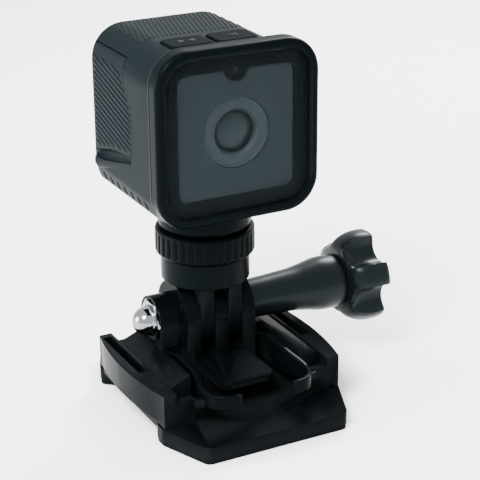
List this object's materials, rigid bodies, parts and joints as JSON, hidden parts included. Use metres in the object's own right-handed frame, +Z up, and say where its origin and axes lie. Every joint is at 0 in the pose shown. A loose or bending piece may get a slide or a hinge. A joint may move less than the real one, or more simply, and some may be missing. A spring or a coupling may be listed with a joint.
{
  "type": "action camera on tilting mount",
  "caption": "Small cube action camera with side door and top keys, on a swivel and tilt hinge with thumb knob, clipped into a quick-release adhesive surface mount.",
  "frame": {"origin": "on the adhesive face, straight below the swivel axis and the tilt axis", "axes": "+Z up along the swivel axis, -Y the way the lens looks, +X along the tilt axis towards the thumb knob"},
  "size_m": [0.061, 0.0527, 0.0773],
  "materials": {
    "mount_plastic": "satin black moulded plastic",
    "hinge_plastic": "satin black glass-filled plastic",
    "knob_plastic": "satin black moulded plastic",
    "chrome": "polished chrome plating",
    "steel": "plain turned steel",
    "brass": "turned brass",
    "soft_rubber": "matt black rubber",
    "adhesive_foam": "closed-cell foam tape",
    "housing_plastic": "fine satin charcoal plastic",
    "bezel_plastic": "smooth near-black plastic",
    "key_rubber": "satin rubberised key",
    "cover_glass": "polished tinted glass",
    "mask_ink": "black printed border film",
    "fascia_plastic": "matt slate plastic",
    "lens_black": "anodised black",
    "lens_glass": "coated optical glass",
    "circuit_board": "green solder mask",
    "battery_wrap": "aluminised pouch",
    "black_plastic": "moulded black plastic"
  },
  "bodies": {
    "mount": {"adhesive_pad": "adhesive_foam", "mount_base": "mount_plastic", "buckle": "mount_plastic", "cap_nut": "chrome"},
    "arm_left": {"release_arm_left": "mount_plastic"},
    "arm_right": {"release_arm_right": "mount_plastic"},
    "thumb_screw": {"clamp_screw": "steel", "thrust_washer": "steel", "thumb_knob": "knob_plastic"},
    "adapter": {"adapter_fork": "hinge_plastic", "tripod_stud": "brass", "clamp_disc": "hinge_plastic", "rubber_pad": "soft_rubber"},
    "ring": {"lock_ring": "hinge_plastic"},
    "camera": {"housing": "housing_plastic", "rear_cover": "housing_plastic", "cover_screws": "steel", "bezel": "bezel_plastic", "front_glass": "cover_glass", "glass_mask": "mask_ink", "fascia": "fascia_plastic", "glass_seal": "soft_rubber", "lens_ring": "lens_black", "lens_barrel": "lens_black", "front_lens": "lens_glass", "rear_lens": "lens_glass", "lens_holder": "black_plastic", "image_sensor": "black_plastic", "sensor_board": "circuit_board", "chassis": "black_plastic", "main_board": "circuit_board", "shield_can": "steel", "battery": "battery_wrap", "battery_foam": "adhesive_foam", "card_socket": "steel", "memory_card": "black_plastic", "usb_port": "steel", "port_board": "circuit_board", "port_panel": "black_plastic", "speaker": "black_plastic", "microphone": "brass", "status_light": "black_plastic", "switch_board": "circuit_board", "switches": "steel", "tripod_insert": "brass", "door_pin": "steel"},
    "key_left": {"button_left": "key_rubber"},
    "key_right": {"button_right": "key_rubber"},
    "door": {"side_door": "housing_plastic", "door_seal": "soft_rubber"}
  },
  "joints": [
    {"name": "arm_left_pinch", "type": "hinge", "parent": "mount", "child": "arm_left", "pos_m": [-0.0103, -0.0059, 0.009], "axis": [0, 0, 1], "range_deg": [0, 7], "stiffness_Nm_per_rad": 1},
    {"name": "arm_right_pinch", "type": "hinge", "parent": "mount", "child": "arm_right", "pos_m": [0.0103, -0.0059, 0.009], "axis": [0, 0, -1], "range_deg": [0, 7], "stiffness_Nm_per_rad": 1},
    {"name": "thumb_screw_turn", "type": "hinge", "parent": "mount", "child": "thumb_screw", "pos_m": [0.02, 0, 0.0174], "axis": [1, 0, 0], "continuous": true},
    {"name": "tilt", "type": "hinge", "parent": "mount", "child": "adapter", "pos_m": [0, 0, 0.0174], "axis": [1, 0, 0], "range_deg": [-70, 65]},
    {"name": "ring_turn", "type": "hinge", "parent": "adapter", "child": "ring", "pos_m": [0, 0, 0.0336], "axis": [0, 0, 1], "continuous": true},
    {"name": "swivel", "type": "hinge", "parent": "adapter", "child": "camera", "pos_m": [0, 0, 0.0423], "axis": [0, 0, 1], "continuous": true},
    {"name": "key_left_press", "type": "slide", "parent": "camera", "child": "key_left", "axis": [0, 0, -1], "range_m": [0, 0.0005], "stiffness_N_per_m": 900},
    {"name": "key_right_press", "type": "slide", "parent": "camera", "child": "key_right", "axis": [0, 0, -1], "range_m": [0, 0.0005], "stiffness_N_per_m": 900},
    {"name": "door_swing", "type": "hinge", "parent": "camera", "child": "door", "pos_m": [-0.01395, 0.01, 0.0708], "axis": [0, 1, 0], "range_deg": [0, 100]}
  ]
}
